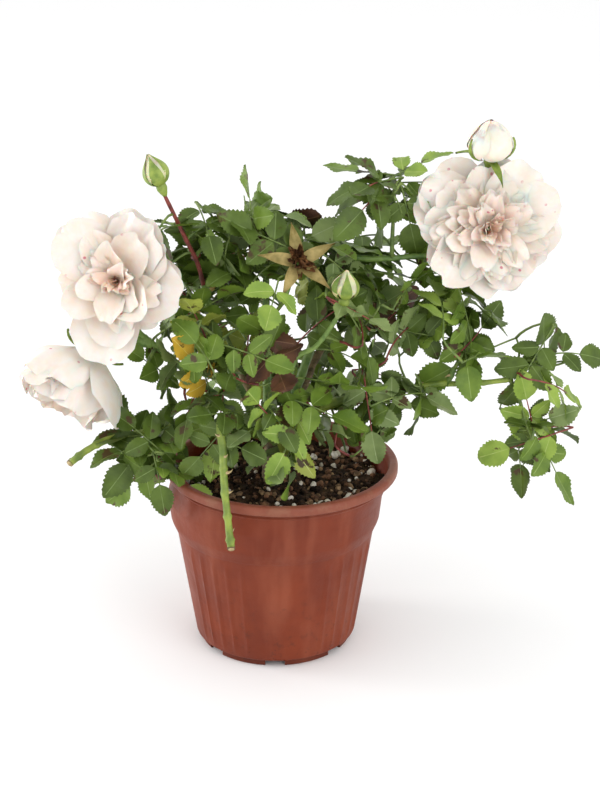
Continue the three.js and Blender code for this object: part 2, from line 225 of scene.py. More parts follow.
def rings_along(path, radii, sides, wobble=None):
    """Rings of corners round a path, each ring turned as little as can be from the last."""
    rings = []
    normal = None
    for i, middle in enumerate(path):
        ahead = path[min(i + 1, len(path) - 1)]
        behind = path[max(i - 1, 0)]
        along = (ahead - behind).normalized()
        if normal is None:
            normal = along.orthogonal().normalized()
        normal = (normal - along * normal.dot(along)).normalized()
        across = along.cross(normal)
        ring = []
        for side in range(sides):
            angle = TURN * side / sides
            outward = normal * math.cos(angle) + across * math.sin(angle)
            radius = radii[i] * (1 + (wobble(middle + outward * radii[i]) if wobble else 0))
            ring.append(middle + outward * radius)
        rings.append(ring)
    return rings


def add_tube(batch, path, radii, sides=6, slot=0, cap=True, wobble=None):
    """A tapering tube, closed at both ends."""
    rings = rings_along(path, radii, sides, wobble)
    if cap:
        rings = [[path[0]] * sides, *rings, [path[-1]] * sides]
    batch.grid(rings, slots=slot, closed=True)


def tapered(count, start, end):
    return [start + (end - start) * i / max(1, count - 1) for i in range(count)]


def frame_of(toward, up):
    """Side, forward and up directions at right angles, as the columns of an array."""
    forward = Vector(toward).normalized()
    side = forward.cross(Vector(up))
    if side.length < 1e-4:
        side = forward.orthogonal()
    side.normalize()
    return np.array([side, forward, side.cross(forward)])


def turned_by(vector, axis, degrees):
    return Matrix.Rotation(math.radians(degrees), 3, Vector(axis)) @ Vector(vector)


# ---- The frame's limbs and masses ----

def corners(node):
    return np.array([v.co for v in NODES[node].data.vertices])


def spot(node, x, y, z):
    """A place in a node's box: shares of its half-sizes from its middle."""
    low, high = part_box(node)
    half = (high - low) / 2
    return (low + high) / 2 + Vector((x * half.x, y * half.y, z * half.z))


RING_GAP = 4 * MM


def centreline(node):
    """The middle and radius of each ring of a limb's solid, from its end nearer the stem."""
    at = corners(node)
    middle = at.mean(0)
    axis = np.linalg.svd(at - middle, full_matrices=False)[2][0]
    along = (at - middle) @ axis
    order = np.argsort(along)
    breaks = np.nonzero(np.diff(along[order]) > RING_GAP)[0] + 1
    line = []
    for ring in np.split(order, breaks):
        centre = at[ring].mean(0)
        off = at[ring] - centre
        off -= np.outer(off @ axis, axis)
        line.append((Vector(centre), float(np.linalg.norm(off, axis=1).max())))
    foot = spot("stem", 0, 0, 1)
    if (line[-1][0] - foot).length < (line[0][0] - foot).length:
        line.reverse()
    return line


# ---- Pot ----

LIP_RADIUS = 71 * MM
LIP_DEPTH = 6 * MM
COLLAR_RADIUS = 66.5 * MM
COLLAR_WAIST_RADIUS = 66 * MM
COLLAR_FOOT_RADIUS = 64.5 * MM
COLLAR_FOOT = 83 * MM
SHOULDER_FOOT = 75 * MM
BODY_TOP_RADIUS = 61 * MM
BODY_FOOT_RADIUS = 50 * MM
WALL = 1.3 * MM
FOOT_HEIGHT = 4.5 * MM
FOOT_RADIUS = 47 * MM
FOOT_WALL = 2.4 * MM
PAD_RADIUS = 14 * MM
NOTCHES = 7
NOTCH_WIDTH = 12 * MM
DRAIN_RADIUS = 3.5 * MM
DRAIN_ORBIT = 36 * MM
DRIFT_FOOT = 96 * MM
DRIFT = (4.5 * MM, 1.5 * MM)
POT_SIDES = 288
RIB_HEIGHT = 0.9 * MM
RIB_GROUPS = 4
RIBS = 5
RIB_PITCH = math.radians(9.5)
RIB_WIDTH = math.radians(1.2)
RIB_FOOT = 7 * MM
RIB_TOP = SHOULDER_FOOT - 3 * MM
RIB_FADE = 4 * MM
FIRST_RIBS = math.radians(-38)  # middle of one group, measured from the front towards the right
RIBBED_SHARE = 0.62  # the part of the pot's outline, from its start, that lies outside
CORNER_RADIUS = 0.9 * MM
CORNER_STEPS = 4

# Radius and height of the wall's bends, from the top down; the pot's inside and the mix follow them.
WALL_BENDS = (
    (COLLAR_WAIST_RADIUS, DRIFT_FOOT),
    (COLLAR_FOOT_RADIUS, COLLAR_FOOT),
    (BODY_TOP_RADIUS, SHOULDER_FOOT),
)

POT_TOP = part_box("pot_rim")[1].z
SOIL_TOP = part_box("soil")[1].z


def drifted(points):
    """The soft rim has been pulled out to one side."""
    lip_foot = POT_TOP - LIP_DEPTH
    share = np.clip((points[..., 2] - DRIFT_FOOT) / (lip_foot - DRIFT_FOOT), 0, 1)
    share = share * share * (3 - 2 * share)
    points[..., 0] += DRIFT[0] * share
    points[..., 1] += DRIFT[1] * share
    return points


def rib_relief(angle, z):
    """How far the ribs stand out: upright ridges in groups on the tapering body."""
    group = (angle - FIRST_RIBS + math.pi / RIB_GROUPS) % (TURN / RIB_GROUPS) - math.pi / RIB_GROUPS
    nearest = np.clip(np.round(group / RIB_PITCH), -(RIBS // 2), RIBS // 2) * RIB_PITCH
    ridge = np.exp(-((group - nearest) / RIB_WIDTH) ** 2)
    fade = np.clip((z - RIB_FOOT) / RIB_FADE, 0, 1) * np.clip((RIB_TOP - z) / RIB_FADE, 0, 1)
    return RIB_HEIGHT * ridge * fade


def rounded(outline):
    """An outline of (radius, height) pairs with all corners but the first and last rounded."""
    made = [outline[0]]
    for before, corner, after in zip(outline, outline[1:], outline[2:]):
        before, corner, after = map(np.array, (before, corner, after))
        back, ahead = np.linalg.norm(before - corner), np.linalg.norm(after - corner)
        reach = min(CORNER_RADIUS, 0.45 * back, 0.45 * ahead)
        start = corner + (before - corner) / back * reach
        end = corner + (after - corner) / ahead * reach
        for i in range(CORNER_STEPS + 1):
            t = i / CORNER_STEPS
            made.append(tuple((1 - t) ** 2 * start + 2 * t * (1 - t) * corner + t * t * end))
    made.append(outline[-1])
    return made


def filled_in(outline, step):
    """The outline with long stretches cut into steps."""
    made = []
    for a, b in zip(outline, outline[1:]):
        a, b = np.array(a), np.array(b)
        count = max(1, round(np.linalg.norm(b - a) / step))
        made += [tuple(a + (b - a) * i / count) for i in range(count)]
    return made + [tuple(outline[-1])]


def turned(outline):
    """The outline turned about the pot's axis, as a grid, with ribs on its outside."""
    ribbed = (np.arange(len(outline)) < len(outline) * RIBBED_SHARE)[:, None]
    outline = np.array(outline)
    angle = np.linspace(0, TURN, POT_SIDES, endpoint=False)
    height = outline[:, 1:] + np.zeros_like(angle)
    radius = outline[:, :1] + rib_relief(angle, height) * ribbed
    return np.stack([radius * np.sin(angle), -radius * np.cos(angle), height], axis=-1)


def pot_material():
    look = Look("pot_plastic", 0.5, 0.28)
    clay = look.mix(look.ramp(look.noise(28), 0.3, 0.7), linear("6b2811"), linear("803518"))
    streaks = look.noise(60, place=look.stretched((1, 1, 0.12)))
    clay = look.mix(look.ramp(streaks, 0.5, 0.8, 0, 0.35), clay, linear("a86248"))
    height = look.height()
    lip = look.ramp(height, POT_TOP - LIP_DEPTH - 0.5 * MM, POT_TOP - LIP_DEPTH + MM)
    clay = look.mix(look.times(lip, 0.4), clay, linear("945e4e"))
    toward_lip = look.ramp(height, POT_TOP - 10 * MM, POT_TOP - 2 * MM, 0, 0.4)
    chalk = look.times(look.ramp(look.noise(75, 5, 0.7), 0.48, 0.62), toward_lip)
    clay = look.mix(chalk, clay, linear("946a52"))
    toward_foot = look.ramp(height, 4 * MM, 60 * MM, 0.6, 0.1)
    dust = look.times(look.ramp(look.noise(190, 5, 0.75), 0.56, 0.66), toward_foot)
    clay = look.mix(dust, clay, linear("4a2418"))
    near_foot = look.ramp(height, 2 * MM, 30 * MM, 0.9, 0.0)
    specks = look.times(look.ramp(look.cells(260), 0.14, 0.05), near_foot)
    clay = look.mix(specks, clay, linear("24140d"))
    # Painted shade: the foot ring and the pot's underside below it are darkened, for the shade under the
    # pot's body.
    foot = look.ramp(height, FOOT_HEIGHT + 0.4 * MM, FOOT_HEIGHT - 0.4 * MM, 0, 0.5)
    look.colour(look.mix(foot, clay, linear("4f2216")))
    look.roughness(look.ramp(look.noise(50), 0.3, 0.7, 0.42, 0.62))
    look.bump(look.noise(320, 4), 0.25 * MM)
    return look.material


def make_pot():
    """The pot as one shell, its foot ring broken by notches and its floor by drain holes."""
    lip_foot = POT_TOP - LIP_DEPTH
    bead = lip_foot - 2.6 * MM
    # From the middle of the foot out and up the outside, over the lip and down the inside.
    outline = [
        (0, 0),
        (PAD_RADIUS, 0),
        (PAD_RADIUS, FOOT_HEIGHT),
        (FOOT_RADIUS - FOOT_WALL, FOOT_HEIGHT),
        (FOOT_RADIUS - FOOT_WALL, 0),
        (FOOT_RADIUS, 0),
        (FOOT_RADIUS, FOOT_HEIGHT - 0.6 * MM),
        (BODY_FOOT_RADIUS, FOOT_HEIGHT + 0.6 * MM),
        (BODY_TOP_RADIUS, SHOULDER_FOOT),
        (BODY_TOP_RADIUS + 0.9 * MM, SHOULDER_FOOT + 1.5 * MM),
        (COLLAR_FOOT_RADIUS - 0.7 * MM, COLLAR_FOOT - 2 * MM),
        (COLLAR_FOOT_RADIUS, COLLAR_FOOT),
        (COLLAR_WAIST_RADIUS, DRIFT_FOOT),
        (COLLAR_RADIUS, bead - 0.9 * MM),
        (COLLAR_RADIUS + 0.7 * MM, bead),
        (COLLAR_RADIUS, bead + 0.9 * MM),
        (COLLAR_RADIUS, lip_foot),
        (LIP_RADIUS, lip_foot + 0.8 * MM),
        (LIP_RADIUS, POT_TOP - 1.4 * MM),
        (LIP_RADIUS - 1.4 * MM, POT_TOP),
        (COLLAR_RADIUS - 0.6 * MM, POT_TOP),
        (COLLAR_RADIUS - WALL, POT_TOP - 1.6 * MM),
        *((radius - WALL, height) for radius, height in WALL_BENDS),
        (BODY_FOOT_RADIUS - WALL, FOOT_HEIGHT + WALL),
        (0, FOOT_HEIGHT + WALL),
    ]
    shell = Batch()
    shell.grid(drifted(turned(filled_in(rounded(outline), 3 * MM))), closed=True)
    pot = shell.piece("pot_shell", [pot_material()], "pot", ["pot", "pot_rim"], sharp=math.radians(50))
    cutter = bpy.data.meshes.new("notches")
    work = bmesh.new()
    for i in range(NOTCHES):
        angle = TURN * i / NOTCHES
        size = Matrix.Diagonal((NOTCH_WIDTH, 6 * FOOT_WALL, 2 * (FOOT_HEIGHT - 0.9 * MM), 1))
        place = Matrix.Rotation(angle, 4, "Z") @ Matrix.Translation((0, -FOOT_RADIUS, 0)) @ size
        bmesh.ops.create_cube(work, size=1, matrix=place)
        between = Matrix.Rotation(angle + 0.5 * TURN / NOTCHES, 4, "Z")
        drain = between @ Matrix.Translation((0, -DRAIN_ORBIT, FOOT_HEIGHT))
        bmesh.ops.create_cone(
            work, cap_ends=True, segments=16, radius1=DRAIN_RADIUS, radius2=DRAIN_RADIUS,
            depth=4 * WALL, matrix=drain,
        )
    work.to_mesh(cutter)
    work.free()
    notches = new_object("notches", cutter)
    cut = pot.modifiers.new("notches", "BOOLEAN")
    cut.operation = "DIFFERENCE"
    cut.solver = "EXACT"
    cut.object = notches
    settle(pot)
    bpy.data.objects.remove(notches)


def settle(piece):
    """Applies the piece's modifiers to its mesh."""
    graph = bpy.context.evaluated_depsgraph_get()
    mesh = bpy.data.meshes.new_from_object(piece.evaluated_get(graph))
    piece.modifiers.clear()
    piece.data = mesh


# ---- Potting mix ----

SOIL_RINGS = 90
SOIL_SIDES = 200
SOIL_ROUGH = 2.6 * MM
CRUMB_REACH = 0.97
CRUMBS = 1300
PERLITE_BITS = 110
PEAT, BARK, ROOT, PERLITE = range(4)


def soil_height(x, y):
    """The loose surface: a low mound at the stem, with lumps of two sizes."""
    foot = spot("stem", 0, 0, -1)
    near = math.hypot(x - foot.x, y - foot.y)
    mound = 3 * MM * math.exp(-((near / (26 * MM)) ** 2))
    lumps = noise.noise(Vector((x, y, 0)) * 90) + 0.6 * noise.noise(Vector((x, y, 0.5)) * 260)
    return SOIL_TOP - 2.2 * MM + mound + SOIL_ROUGH * lumps


def soil_place(random):
    """A place on the mix, seen from above."""
    angle = random.random() * TURN
    share = math.sqrt(random.random()) * CRUMB_REACH
    radius = (COLLAR_WAIST_RADIUS - WALL - 1.5 * MM) * share
    x, y = drifted(np.array([radius * math.cos(angle), radius * math.sin(angle), SOIL_TOP]))[:2]
    return float(x), float(y)


def add_lump(batch, random, at, size, slot, sides, rings, flat=0.7):
    """An uneven pebble or crumb of the given size."""
    squeeze = Vector((0.7 + 0.6 * random.random(), 0.7 + 0.6 * random.random(), flat))
    turn = random.random() * TURN
    spin = Matrix.Rotation(turn, 3, Vector((random.random() - 0.5, random.random() - 0.5, 1)).normalized())
    seed = Vector((random.random(), random.random(), random.random())) * 50
    rows = []
    for i in range(rings + 1):
        polar = math.pi * i / rings
        row = []
        for side in range(sides):
            angle = TURN * side / sides
            level = math.sin(polar)
            ball = Vector((level * math.cos(angle), level * math.sin(angle), math.cos(polar)))
            swell = 1 + 0.35 * noise.noise(ball * 1.6 + seed)
            row.append(Vector(at) + spin @ (ball * squeeze) * size * swell)
        rows.append(row)
    batch.grid(rows, slots=slot, closed=True)


def soil_ring(reach, height=None):
    """A ring of places round the pot's axis, on the loose surface if no height is given."""
    ring = []
    for side in range(SOIL_SIDES):
        angle = TURN * side / SOIL_SIDES
        x, y = reach * math.cos(angle), reach * math.sin(angle)
        ring.append((x, y, soil_height(x, y) if height is None else height))
    return ring


def make_soil():
    random = Random("potting mix")
    radius = COLLAR_WAIST_RADIUS - WALL - 0.2 * MM
    floor = FOOT_HEIGHT + WALL + 0.4 * MM
    wall = WALL + 0.6 * MM
    rings = [soil_ring(radius * i / SOIL_RINGS) for i in range(SOIL_RINGS + 1)]
    rings += [soil_ring(bend - wall, height) for bend, height in WALL_BENDS]
    rings += [soil_ring(BODY_FOOT_RADIUS - wall, floor), soil_ring(0, floor)]
    bed = Batch()
    bed.grid(drifted(np.array(rings)), closed=True)
    peat = mottled("peat", "4a3826", "140d08", 170, 0.95, 1.2 * MM, 0.2)
    bed.piece("potting_mix", [peat], "soil", ["soil"])
    crumbs = Batch()
    for i in range(CRUMBS):
        x, y = soil_place(random)
        size = (0.8 + 2.0 * random.random() ** 2.5) * MM
        kind = random.choice((PEAT, PEAT, PEAT, BARK, BARK, ROOT))
        add_lump(crumbs, random, (x, y, soil_height(x, y) + 0.3 * size), size, kind, 6, 4)
    for i in range(PERLITE_BITS):
        x, y = soil_place(random)
        size = (0.8 + 1.7 * random.random() ** 1.6) * MM
        add_lump(crumbs, random, (x, y, soil_height(x, y) + 0.5 * size), size, PERLITE, 8, 6, 0.9)
    looks = [
        mottled("peat_crumb", "4a3626", "150e09", 300, 0.95, 0.4 * MM, 0.2),
        mottled("bark_crumb", "8a6446", "3a2417", 260, 0.85, 0.4 * MM, 0.3),
        mottled("root_crumb", "a88a66", "5a4530", 260, 0.85, 0.4 * MM, 0.3),
        mottled("perlite", "efe9dc", "c9bfa9", 320, 0.85, 0.3 * MM, 0.3),
    ]
    crumbs.piece("crumbs", looks, "soil")


# ---- Canes, boughs and stems ----

BARK_STEP = 2.2 * MM
KNOT_SPACING = 13 * MM
KNOT_WIDTH = 0.07  # share of the spacing
# The chance of a prickle at each step, and how far a knot swells, as a share of the radius.
CUT_CANE_BARK = (0.09, 0.36)
BOUGH_BARK = (0.012, 0.22)
# Nodes that run on into one another, in the order in which they grow.
CHAINS = [line.split() for line in (
    "cane_front cane_front_end",
    "cane_left cane_left_end",
    "bough_right branch_right_arm",
    "branch_right_spur",
    "bough_upper_right branch_upper_right",
    "bough_top",
    "bough_upper_left",
    "bough_left stem_bloom_left",
    "stem_bloom_low",
    "bough_back_left",
    "bough_back_right",
    "bough_front stem_bud_centre",
    "stem_bud_left",
    "stem_bud_right",
    "stem_spent",
)]
OLD_WOOD, GREEN_CANE, YOUNG_STEM, RED_SHOOT, PITH = range(5)
CANE_TINTS = {
    "cane_front": GREEN_CANE,
    "cane_left": GREEN_CANE,
    "bough_right": GREEN_CANE,
    "stem_bud_left": RED_SHOOT,
    "stem_bud_centre": RED_SHOOT,
    "bough_back_left": OLD_WOOD,
    "bough_back_right": OLD_WOOD,
}
skeleton = []  # places that a twig may grow from, each with the limb's direction there


def bark_looks():
    return [
        mottled("old_wood", "8a7550", "4d4127", 240, 0.75, 0.5 * MM),
        mottled("green_cane", "8fa03e", "5f762c", 130, 0.5, 0.25 * MM),
        mottled("young_stem", "7f9a4c", "567536", 180, 0.5, 0.2 * MM),
        mottled("red_shoot", "8e4038", "5f2a2a", 200, 0.45, 0.15 * MM),
        mottled("pith", "cdb98c", "a08a5c", 500, 0.8, 0.3 * MM),
    ]


def cane_relief(at):
    """Fine lengthwise unevenness of the bark."""
    return 0.10 * noise.noise(at * 260) + 0.05 * noise.noise(at * 900)


def add_prickle(batch, at, outward, along, size):
    """A prickle: a flat-sided cone that hooks a little towards the cane's foot."""
    path = [
        at,
        at + outward * size * 0.4 - along * size * 0.05,
        at + outward * size * 0.75 - along * size * 0.2,
        at + outward * size - along * size * 0.45,
    ]
    add_tube(batch, path, [0.3 * size, 0.2 * size, 0.1 * size, 0.02 * size], 6, PITH, cap=False)


def add_limb(batch, random, line, slot, prickles, knots):
    """A limb's bark over its centreline, with knots and prickles."""
    path = smooth_path([at for at, radius in line], BARK_STEP)
    count = len(path)
    marks = np.linspace(0, 1, len(line))
    radii = np.interp(np.linspace(0, 1, count), marks, [radius for at, radius in line])
    for i in range(count):
        away = (i * BARK_STEP) % KNOT_SPACING / KNOT_SPACING
        radii[i] *= 1 + knots * math.exp(-(((away - 0.5) / KNOT_WIDTH) ** 2))
    add_tube(batch, path, radii, 10, slot, wobble=cane_relief)
    for i in range(2, count - 2):
        if random.random() < prickles:
            along = (path[i + 1] - path[i - 1]).normalized()
            outward = turned_by(along.orthogonal().normalized(), along, random.uniform(0, 360))
            size = random.uniform(2.2, 4.2) * MM
            add_prickle(batch, path[i] + outward * radii[i] * 0.8, outward, along, size)
    for i in range(1, count - 1):
        skeleton.append((path[i], (path[i + 1] - path[i - 1]).normalized()))
    return path, radii


def from_middle(ring):
    """How far each corner of a level ring lies from its middle."""
    return np.hypot(*(ring[:, :2] - ring[:, :2].mean(0)).T)


def add_stem(batch):
    """The short stem with its root flare and flat foot, leaning to its fork."""
    at = corners("stem")
    levels = np.unique(np.round(at[:, 2], 4))
    line = []
    for level in levels[:-1]:
        ring = at[np.abs(at[:, 2] - level) < 0.2 * MM]
        if len(ring) > 4:
            ring = ring[from_middle(ring) > MM]
        line.append((Vector(ring.mean(0)), float(from_middle(ring).max())))
    last, radius = line[-1]
    line.append((Vector((last.x, last.y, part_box("stem")[1].z)), radius * 0.7))
    path = smooth_path([p for p, r in line], BARK_STEP)
    radii = np.interp(np.linspace(0, 1, len(path)), np.linspace(0, 1, len(line)), [r for p, r in line])
    fluted = lambda p: 0.16 * noise.noise(Vector((p.x, p.y, p.z * 0.3)) * 170) + cane_relief(p)
    add_tube(batch, path, radii, 18, OLD_WOOD, wobble=fluted)
    return path[-1]


def make_limbs():
    """The stem, canes, boughs and open stems, each grown on from the last."""
    random = Random("limbs")
    bark = Batch()
    fork = add_stem(bark)
    for chain in CHAINS:
        line = [ring for node in chain for ring in centreline(node)]
        if chain[0].startswith(("bough", "cane")):
            line = [(fork - UP * 4 * MM, line[0][1]), *line]
        elif skeleton:
            start = line[0][0]
            nearest = min(skeleton, key=lambda place: (place[0] - start).length)[0]
            line = [(nearest, line[0][1] * 0.9), *line]
        cut = chain[-1] in ("cane_front_end", "cane_left_end")
        slot = CANE_TINTS.get(chain[0], YOUNG_STEM)
        path, radii = add_limb(bark, random, line, slot, *(CUT_CANE_BARK if cut else BOUGH_BARK))
        if cut:
            add_cut_end(bark, path, radii[-1])
    nodes = ["stem", *(node for chain in CHAINS for node in chain)]
    bark.piece("bark", bark_looks(), "bark", nodes)


def add_cut_end(batch, path, radius):
    """A slanting cut where a cane was pruned: a pale disc of pith inside a rim of brown bark."""
    face = ((path[-1] - path[-2]).normalized() + TO_VIEWER).normalized()
    tip = path[-1]
    add_tube(batch, [tip - face * 2 * MM, tip + face * MM], [radius * 1.04] * 2, 14, OLD_WOOD)
    add_tube(batch, [tip, tip + face * 1.3 * MM], [radius * 0.84] * 2, 14, PITH)


# ---- Leaves ----

LEAF_TEETH = 10
TOOTH_DEPTH = 0.07
MIDRIB = 0.5 * MM
LEAFLET_SPREAD = 62  # degrees between a leaflet and the leaf's stalk
MISSING_LEAFLETS = 0.04
DARK, MIDDLE, BLUISH_PAINTED_SHEEN, YOUNG, LIME, YELLOW, SCORCHED = range(7)
LEAF_TINTS = [
    # name, blade tones, midrib
    ("dark", "5a7029", "42551b", "748a48"),
    ("middle", "718a32", "587227", "8aa052"),
    # The next tint, a pale grey-green given to whole leaves, is painted sheen: the shine of glossy leaves
    # put into their colour.
    ("bluish_painted_sheen", "84965a", "687c48", "98a878"),
    ("young", "93ac48", "78943c", "a8ba6a"),
    ("lime", "aab450", "8c983c", "c0ca78"),
    ("yellow", "d2ae3a", "b8932e", "d8c86c"),
    ("scorched", "6a4630", "3c2620", "866444"),
]
BLADE, RIB = range(2)
leaves = [Batch() for tint in LEAF_TINTS]
stalks = Batch()
STALK_GREEN, STALK_RED = 0, 1


def leaf_looks(tint):
    name, light, dark, rib = LEAF_TINTS[tint]
    blade = Look(f"leaf_{name}", 0.46, 0.3)
    share = blade.ramp(blade.noise(70, 4), 0.35, 0.65)
    spots = blade.ramp(blade.noise(85, 5), 0.615, 0.655)
    blade.colour(blade.mix(spots, blade.mix(share, linear(dark), linear(light)), linear("4a3a20")))
    blade.roughness(blade.ramp(blade.noise(200), 0.3, 0.7, 0.36, 0.52))
    blade.bump(blade.noise(500, 4), 0.12 * MM)
    return [
        blade.material,
        mottled(f"rib_{name}", rib, light, 200, 0.5),
    ]


def leaf_outline(s):
    """Half-width of an egg-shaped leaflet along its length, 1 at the widest."""
    return np.sin(math.pi * s ** 0.82) ** 0.72 * (1 - 0.10 * s)


def leaf_blade(random, length, width, fold, bend):
    """A leaflet with a toothed edge, lying along +Y with its upper side towards +Z."""
    rows = 2 * LEAF_TEETH + 1
    along = np.linspace(0, 1, rows)[:, None]
    half = 0.5 * width * leaf_outline(along)
    rib = np.minimum(0.5 * MIDRIB, 0.4 * half)
    x = np.concatenate([-half, -0.55 * half, -rib, rib, 0.55 * half, half], axis=1)
    is_tooth = (np.arange(rows) % 2 == 1)[:, None]
    edge = np.array([1, 0, 0, 0, 0, 1])
    x = x * (1 + edge * np.where(is_tooth, TOOTH_DEPTH, -TOOTH_DEPTH))
    y = along + edge * np.where(is_tooth, 0.5 / rows, 0) * np.minimum(1, 3 * (1 - along))
    wave = random.uniform(0.01, 0.05) * length
    phase = random.uniform(0, TURN)
    twist = random.uniform(-0.25, 0.25)
    z = fold * np.abs(x) + twist * x * along
    z = z + edge * wave * np.sin(along * TURN * 1.7 + phase)
    quilt = np.array([0, 1, -0.35, -0.35, 1, 0])
    z = z + quilt * np.where(is_tooth, 0.022, -0.006) * width
    angle = bend * along[:, 0]
    step = length / (rows - 1)
    middle_y = np.concatenate([[0], np.cumsum(np.cos(angle[:-1])) * step])
    middle_z = np.concatenate([[0], np.cumsum(np.sin(angle[:-1])) * step])
    ahead = (y - along) * length
    y = middle_y[:, None] + ahead * np.cos(angle)[:, None] - z * np.sin(angle)[:, None]
    z = middle_z[:, None] + ahead * np.sin(angle)[:, None] + z * np.cos(angle)[:, None]
    return np.stack([x, y, z], axis=-1)


def add_leaflet(random, at, toward, up, length, tint):
    """One leaflet, with its foot at the given place."""
    width = length * random.uniform(0.64, 0.76)
    points = leaf_blade(random, length, width, random.uniform(0.05, 0.40), random.uniform(-0.7, 0.2))
    axes = frame_of(toward, up)
    slots = np.full((points.shape[0] - 1, points.shape[1] - 1), BLADE)
    slots[:, 2] = RIB
    slots[-2:, 2] = BLADE
    leaves[tint].grid(points @ axes + np.array(at), slots=slots)


def add_spray(random, foot, toward, up, size, leaflets, tint, bend, red):
    """A rose leaf: leaflets in pairs along a stalk, and the largest at its tip."""
    pairs = (leaflets - 1) // 2
    side, forward, above = (Vector(axis) for axis in frame_of(toward, up))
    reach = size * (0.5 + 0.62 * pairs)
    steps = 8
    path = [Vector(foot)]
    for i in range(steps):
        angle = bend * (i + 0.5) / steps
        path.append(path[-1] + (forward * math.cos(angle) + above * math.sin(angle)) * reach / steps)
    add_tube(stalks, path, tapered(len(path), 0.62 * MM, 0.38 * MM), 5, STALK_RED if red else STALK_GREEN)
    for pair in range(pairs):
        place = (0.36 + 0.5 * pair / max(1, pairs - 0.35)) if pairs > 1 else 0.5
        index = min(steps - 1, int(place * steps))
        at = path[index].lerp(path[index + 1], place * steps - index)
        angle = bend * place
        ahead = forward * math.cos(angle) + above * math.sin(angle)
        level = above * math.cos(angle) - forward * math.sin(angle)
        for hand in (-1, 1):
            if random.random() < MISSING_LEAFLETS:
                continue
            spread = random.uniform(LEAFLET_SPREAD - 12, LEAFLET_SPREAD + 10)
            away = turned_by(ahead, level, -hand * spread)
            away += level * random.uniform(-0.25, 0.2)
            lean = level + side * hand * -random.uniform(0.0, 0.35) + ahead * random.uniform(-0.15, 0.15)
            length = size * (0.76 + 0.10 * pair) * random.uniform(0.85, 1.1)
            add_leaflet(random, at + away.normalized() * 0.8 * MM, away, lean, length, tint)
    ahead = (path[-1] - path[-2]).normalized()
    level = above * math.cos(bend) - forward * math.sin(bend)
    level += side * random.uniform(-0.3, 0.3)
    add_leaflet(random, path[-1], ahead, level, size * random.uniform(0.95, 1.05), tint)


def add_twig(start, leaving, end, arriving, thick, tip, slot):
    """A curved twig between two places, with its direction at each; its length joins the skeleton."""
    start, end = Vector(start), Vector(end)
    chord = (end - start).normalized()
    pull = (end - start).length * 0.33
    a = start + (Vector(leaving).normalized() * 0.7 + chord).normalized() * pull
    b = end - (Vector(arriving).normalized() * 0.7 + chord).normalized() * pull
    steps = max(4, round((end - start).length / (4 * MM)))
    path = []
    for i in range(steps + 1):
        t = i / steps
        s = 1 - t
        path.append(start * s ** 3 + a * 3 * t * s ** 2 + b * 3 * t * t * s + end * t ** 3)
    add_tube(stalks, path, tapered(len(path), thick, tip), 6, slot)
    for i in range(1, len(path)):
        skeleton.append((path[i], (path[i] - path[i - 1]).normalized()))


# ---- Masses of foliage ----

OUTWARD_TILT = 0.3
OVERHANG = 8 * MM  # how far a leaf's tip may pass its mass's box
BURIED = 0.8  # of the way from another mass's middle to its surface, squared
THINNING = 0.45  # the share of buried leaves that is left out
RED_STALKS = 0.15
RED_YOUNG_STALKS = 0.6
MASS_NODES = [node for node in sorted(NODES) if node.startswith("foliage")]
IN_VIEW = [node for node in sorted(NODES) if node.startswith(("bloom", "bud", "stem_bud", "spent"))]
# Masses that sky shows through: no inner leaves, and fewer of them.
SPARSE = [f"foliage_{part}" for part in ("arm_tip", "arm_hanging", "arm_spur", "top_right", "low_left")]
# Layers of leaves: spacing, shrink towards the mass's middle, and depth of a leaf's foot under the surface.
FULL_LAYERS = ((24 * MM, 1, 6 * MM), (33 * MM, 0.55, 0))
SPARSE_LAYERS = ((17 * MM, 1, 0),)
# Shares of the leaf tints, range of sizes in mm and numbers of leaflets.
FULL_LEAVES = ((0.33, 0.31, 0.17, 0.14, 0.03, 0.012, 0.008), (17, 24), (3, 5, 5, 5))
SPARSE_LEAVES = ((0.46, 0.34, 0.08, 0.12, 0, 0, 0), (19, 26), (3, 3, 3, 5))


def surface_places(node, random, spacing, shrink):
    """Places spread over a mass's solid, each with the way out, no two closer than the spacing."""
    mesh = NODES[node].data
    mesh.calc_loop_triangles()
    middle = spot(node, 0, 0, 0)
    faces = [[mesh.vertices[i].co.copy() for i in face.vertices] for face in mesh.loop_triangles]
    areas = [((b - a).cross(c - a)).length / 2 for a, b, c in faces]
    total = sum(areas)
    found = []
    for a, b, c in random.choices(faces, weights=areas, k=int(40 * total / spacing ** 2)):
        s, t = sorted((random.random(), random.random()))
        place = a * s + b * (t - s) + c * (1 - t)
        place = middle + (place - middle) * shrink
        if all((place - other[0]).length > spacing for other in found):
            found.append((place, (b - a).cross(c - a).normalized()))
    return found


def is_buried(place, own):
    """Whether a place lies well inside another mass."""
    for node in MASS_NODES:
        if node != own:
            low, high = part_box(node)
            half = (high - low) / 2
            off = place - (low + high) / 2
            if (off.x / half.x) ** 2 + (off.y / half.y) ** 2 + (off.z / half.z) ** 2 < BURIED:
                return True
    return False


def hides_flower(place):
    """Whether a place is in a bloom or bud, or between it and the front, where no leaf goes."""
    for node in IN_VIEW:
        low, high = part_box(node)
        if low.x < place.x < high.x and low.z < place.z < high.z and place.y < high.y:
            return True
    return False


def within(place, node):
    """The place, or the nearest to it that a leaf of this mass may reach."""
    low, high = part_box(node)
    return Vector([min(max(v, a - OVERHANG), b + OVERHANG) for v, a, b in zip(place, low, high)])


